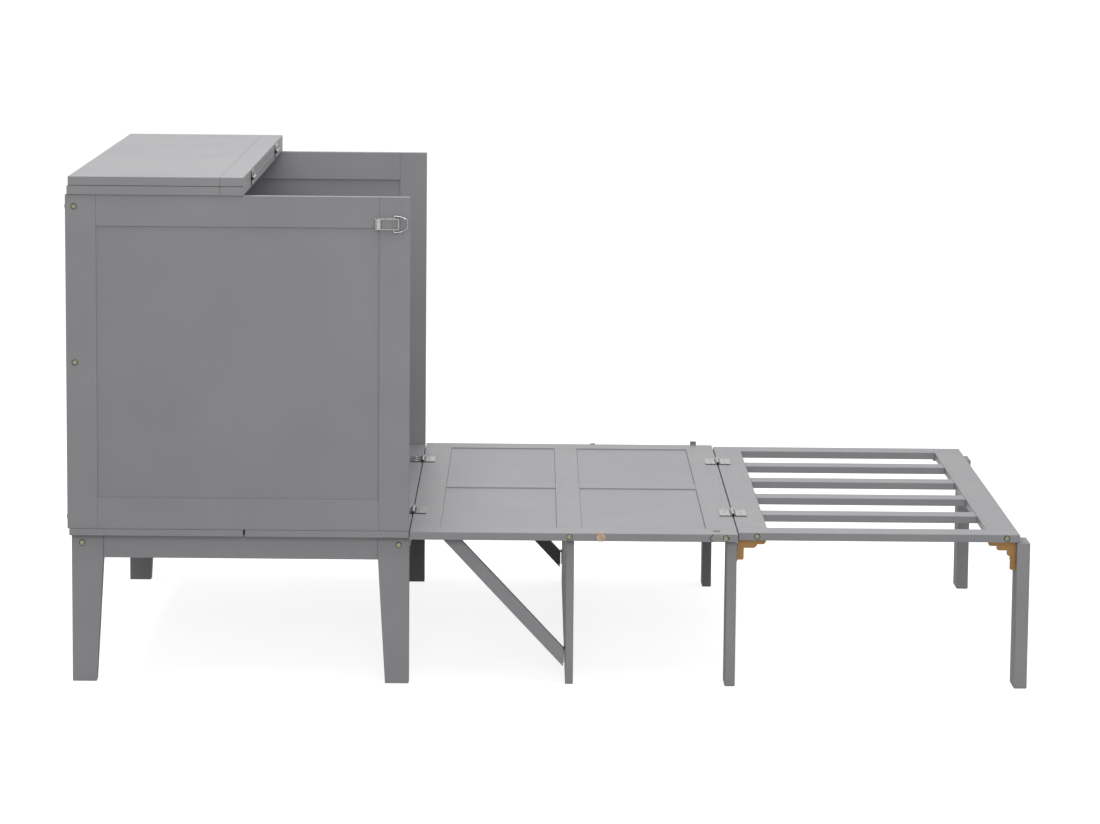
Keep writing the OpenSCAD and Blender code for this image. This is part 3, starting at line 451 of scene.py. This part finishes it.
def cross_screws(name, seats, out, body, radius=0.0031, rise=0.0008):
    """Screws turned about an axis that points out: the shank, then the head's underside and rim, then
    a top that is highest on the axis and falls with the square of the distance from it. The cross is
    cut where the nearer of its two arms is less than half an arm's width away, and the distance from
    the axis is less than an arm's length. Its sides slope."""
    shank, under, rim = 0.0045, 0.0002, 0.00015
    shank_radius, arm_half, arm_end, recess = 0.55 * radius, 0.2 * radius, 0.62 * radius, 0.32 * radius
    arm_slope, end_slope, points_round, points_in = 0.07 * radius, 0.12 * radius, 40, 16
    out = np.array(out, float)
    side = np.cross(out, [0, 0, 1.0] if abs(out[2]) < 0.9 else [1.0, 0, 0])
    side /= np.linalg.norm(side)
    other = np.cross(out, side)
    turn = np.linspace(0, 2 * math.pi, points_round, endpoint=False)
    top = np.linspace(radius, 0, points_in)
    r = np.concatenate([[0, shank_radius, shank_radius, 0.97 * radius], top])
    h = np.concatenate([[-shank, -shank, -under, 0.0], rim + rise * (1 - (top / radius) ** 2)])
    x, y = r[:, None] * np.cos(turn), r[:, None] * np.sin(turn)
    arm = np.clip((arm_half - np.minimum(abs(x), abs(y))) / arm_slope, 0, 1)
    reach = np.clip((arm_end - r[:, None]) / end_slope, 0, 1)
    is_top = np.arange(len(r))[:, None] >= len(r) - points_in
    z = h[:, None] - np.where(is_top, arm * reach * recess, 0)
    shape = x[..., None] * side + y[..., None] * other + z[..., None] * out
    return grid_mesh(name, np.array(seats, float)[:, None, None, :] + shape, body, zinc)


def leaf_seats(x, y, length, z):
    """Seats of three screws on each of the two leaves at plus and minus y, a third of the leaf apart."""
    return [(x, s * (y + k * length / 3), z) for s in (-1, 1) for k in (-1, 0, 1)]


def leaf_middle(reach):
    """How far a leaf's screws lie from its pin: halfway from the knuckle to the leaf's end."""
    return (pin_lift + reach) / 2


leaf_thick = 0.0018
deck_hinge_y, deck_hinge_length = 0.305, 0.066
for name, body, pin_x, way in (
    ("door_hinge_cabinet", "cabinet", door_pin_x, -1),
    ("door_hinge_door", "door", door_pin_x, 1),
    ("frame_hinge_door", "door", frame_pin_x, -1),
    ("frame_hinge_frame", "slat_frame", frame_pin_x, 1),
):
    x = pin_x + way * leaf_middle(deck_leaf_reach)
    seats = leaf_seats(x, deck_hinge_y, deck_hinge_length, deck_top + leaf_thick)
    cross_screws(name + "_screws", seats, (0, 0, 1), body)

lid_hinge_y, lid_hinge_length, lid_leaf_reach = 0.318, 0.060, 0.015
for name, body, way in (("lid_hinge_rear", "cabinet", -1), ("lid_hinge_front", "lid_leaf", 1)):
    z = lid_pin_z + way * leaf_middle(lid_leaf_reach)
    seats = leaf_seats(lid_edge.x + leaf_thick, lid_hinge_y, lid_hinge_length, z)
    cross_screws(name + "_screws", seats, (1, 0, 0), body, radius=0.0029, rise=0.0006)

support_leaf_reach, support_face = 0.012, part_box("support_board")[1].x
from_corner = pin_lift + leaf_middle(support_leaf_reach)
seats = leaf_seats(support_face + from_corner, deck_hinge_y, deck_hinge_length, deck_under - leaf_thick)
cross_screws("support_hinge_door_screws", seats, (0, 0, -1), "door", radius=0.0029, rise=0.0005)
seats = leaf_seats(support_face + leaf_thick, deck_hinge_y, deck_hinge_length, deck_under - from_corner)
cross_screws("support_hinge_board_screws", seats, (1, 0, 0), "support", radius=0.0029, rise=0.0005)

# Latch screws: two through each latch's base, under the lever, with low heads that the lever clears.
# Zinc-plated steel, as the hinges' screws.

lever_length, latch_base_thick = 0.047, 0.0012
for side, way in (("left", -1), ("right", 1)):
    low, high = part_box("latch_base_" + side)
    level = (low.z + high.z) / 2
    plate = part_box("side_frame_" + side)[way > 0].y + way * latch_base_thick
    seats = [(low.x + (1 - share) * lever_length, plate, level) for share in (0.4, 0.8)]
    cross_screws("latch_base_screws_" + side, seats, (0, way, 0), "cabinet", rise=0.0006)

# Bracket screws: flat heads, almost flush, because a folded leg lies half a millimetre under them.
# Zinc-plated steel, two in each bracket's flange under the rail and two in each leg plate's flange.

rear_leg, foot_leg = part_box("end_leg_rear_left")[1].x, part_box("end_leg_foot_left")[0].x
bracket_in, flange_middle, flange_thick, flat_head = 0.018, 0.00965, 0.0015, 0.0001
plate_y = -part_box("end_leg_rear_left")[0].y - bracket_in
under_flange = deck_under - flange_thick
seats = []
for leg_face, way, offsets in ((rear_leg, 1, (0.027, 0.048)), (foot_leg, -1, (0.030, 0.048))):
    y = plate_y - way * flange_middle
    seats += [(leg_face + way * u, s * y, under_flange) for s in (-1, 1) for u in offsets]
cross_screws("bracket_screws", seats, (0, 0, -1), "slat_frame", radius=0.003, rise=flat_head)
for name, leg_face, way, drops in (
    ("rear", rear_leg, 1, (0.0265, 0.0365)),
    ("foot", foot_leg, -1, (0.047, 0.056)),
):
    for side, s in (("left", -1), ("right", 1)):
        x, y = leg_face + way * flange_thick, s * (plate_y + way * flange_middle)
        seats = [(x, y, deck_under - drop) for drop in drops]
        piece, body = f"leg_plate_screws_{name}_{side}", f"leg_{name}_{side}"
        cross_screws(piece, seats, (way, 0, 0), body, radius=0.0026, rise=flat_head)

# Round bolts: connector bolts with a low round head and a hexagonal socket.
# Steel with yellow passivated zinc, which looks greenish yellow with a bright spot.

# The head's rim, where it turns away from its face, is painted darker as a ring of painted shade.
yellow_zinc = plated(
    "yellow_passivated_zinc", ("#6C7059", "#83866F", "#AAAD98"), 0.24, 0.0008, ("#2E2F26", 0.9, 0.55)
)
dress(yellow_zinc, "bolt_brass", "cabinet_bolts", "door_bolts", "frame_bolts")

# Hexagonal bolts on the door's edges: stop bolts whose heads stand out of the wood.
# Brass, unlacquered, so they have warmed to a copper tone.

# The hexagon's sides and chamfers, the faces not turned across the bed, are painted paler as a painted
# highlight.
warm_brass = plated(
    "warm_unlacquered_brass", ("#857361", "#988677", "#B3A596"), 0.34, 0.0007, ("#C2B9B2", 0.8, 0.4)
)
dress(warm_brass, "hex_brass", "hex_bolts")

# Leg brackets and leg plates: folding brackets stamped with rounded steps, joined by a rivet.
# Steel plate with a gold-brown stoving enamel, satin over a fine fleck.

# Enamel flow is 3 mm wide, and its flecks are drawn 0.8 mm wide, because real ones are too fine to show
flow_width, fleck_width, fleck_height = 0.003, 0.0008, 0.00004
bracket_enamel, tree = finish("gold_brown_stoving_enamel")
place = add(tree, "TexCoord").outputs["Object"]
flow = add(tree, "TexNoise", inputs={"Vector": place, "Scale": 1 / flow_width, "Detail": 3.0})
fleck = add(tree, "TexNoise", inputs={"Vector": place, "Scale": 1 / fleck_width, "Detail": 1.0})
tone = add(tree, "ValToRGB", inputs={"Fac": flow.outputs["Fac"]})
for stop, at, colour in zip(tone.color_ramp.elements, (0.3, 0.75), ("#8B6734", "#9E7740")):
    stop.position, stop.color = at, linear(colour)
skin = add(
    tree, "Bump", inputs={"Height": fleck.outputs["Fac"], "Strength": 0.4, "Distance": fleck_height}
)
face = add(
    tree,
    "BsdfPrincipled",
    inputs={
        "Base Color": tone.outputs["Color"],
        "Normal": skin.outputs["Normal"],
        "Roughness": 0.42,
        "IOR": 1.5,
        "Metallic": 0.25,
    },
)
add(tree, "OutputMaterial", inputs={"Surface": face.outputs["BSDF"]})
dress(
    bracket_enamel,
    "bracket_gold",
    "rear_leg_brackets",
    "foot_leg_brackets",
    "leg_plate_rear_left",
    "leg_plate_rear_right",
    "leg_plate_foot_left",
    "leg_plate_foot_right",
)

# Studio: a pale floor that fades into a white backdrop, both white to the camera and to reflections,
# and darker as a source of light. A key light stands upper left, with a broad light above, a large
# fill at the camera and a weak one behind.

floor_half, floor_drop = 60, 0.0002
floor_mesh = bpy.data.meshes.new("studio_floor")
corners = [(floor_half * x, floor_half * y, -floor_drop) for x, y in ((-1, -1), (1, -1), (1, 1), (-1, 1))]
floor_mesh.from_pydata(corners, [], [(0, 1, 2, 3)])
floor = bpy.data.objects.new("studio_floor", floor_mesh)
bpy.context.scene.collection.objects.link(floor)


def seen_white(tree):
    """1 for a ray from the camera, or for one that a glossy or a clear surface sends, and 0 for others."""
    ray = add(tree, "LightPath").outputs
    seen = add(tree, "Math", {"operation": "MAXIMUM"}, {0: ray["Is Camera Ray"], 1: ray["Is Glossy Ray"]})
    terms = {0: seen.outputs["Value"], 1: ray["Is Transmission Ray"]}
    return add(tree, "Math", {"operation": "MAXIMUM"}, terms).outputs["Value"]


# The floor glows to the camera and still takes the object's shadow on its matt part
floor_paint, tree = finish("pale_studio_floor")
matt = add(tree, "BsdfDiffuse", inputs={"Color": (0.42, 0.42, 0.42, 1)})
glow = add(tree, "Emission", inputs={"Color": (1, 1, 1, 1), "Strength": 0.85})
pale = add(tree, "AddShader", inputs={0: matt.outputs[0], 1: glow.outputs[0]})
grey = add(tree, "BsdfDiffuse", inputs={"Color": (0.34, 0.34, 0.34, 1)})
mix = add(tree, "MixShader", inputs={0: seen_white(tree), 1: grey.outputs[0], 2: pale.outputs[0]})
add(tree, "OutputMaterial", inputs={"Surface": mix.outputs[0]})
floor_mesh.materials.append(floor_paint)

room_light = 0.42
world = bpy.data.worlds.new("white_backdrop")
bpy.context.scene.world = world
world.use_nodes = True
tree = world.node_tree
tree.nodes.clear()
level = add(tree, "MapRange", inputs={"Value": seen_white(tree), "To Min": room_light, "To Max": 1.0})
sky = add(tree, "Background", inputs={"Color": (1, 1, 1, 1), "Strength": level.outputs["Result"]})
add(tree, "OutputWorld", inputs={"Surface": sky.outputs[0]})

for name, power, size, spot, aim in (
    ("key_light_upper_left", 76, 1.0, (-2.3, 0.1, 4.2), (-0.2, 0, 0.3)),
    ("broad_top_light", 98, 4.0, (0.9, -0.8, 4.6), (0, 0, 0.3)),
    ("front_fill", 204, 3.0, (0.1, -7.4, 2.8), (0, 0, 0.4)),
    ("back_fill", 26, 3.0, (0.3, 6.0, 4.4), (0, 0, 0.4)),
):
    lamp = bpy.data.lights.new(name, "AREA")
    lamp.energy = power
    lamp.size = size
    holder = bpy.data.objects.new(name, lamp)
    bpy.context.scene.collection.objects.link(holder)
    away = np.array(spot, float) - np.array(aim, float)
    holder.location = spot
    flat = math.hypot(away[0], away[1])
    holder.rotation_euler = (math.atan2(flat, away[2]), 0, math.atan2(away[0], -away[1]))

# Camera: stands where the photograph was taken from, fitted to the object's corners in it, about 7.3 m
# in front of the bed's middle and 1.7 m above the floor.

camera = bpy.data.cameras.new("photo_view")
camera.sensor_width = 36
camera.lens = 111.99
camera.shift_y = -0.12
viewer = bpy.data.objects.new("photo_view", camera)
bpy.context.scene.collection.objects.link(viewer)
viewer.location = (-0.0366, -7.3138, 1.6671)
viewer.rotation_euler = tuple(math.radians(a) for a in (82.981, -0.526, -0.210))
bpy.context.scene.camera = viewer
bpy.context.scene.view_settings.view_transform = "Standard"
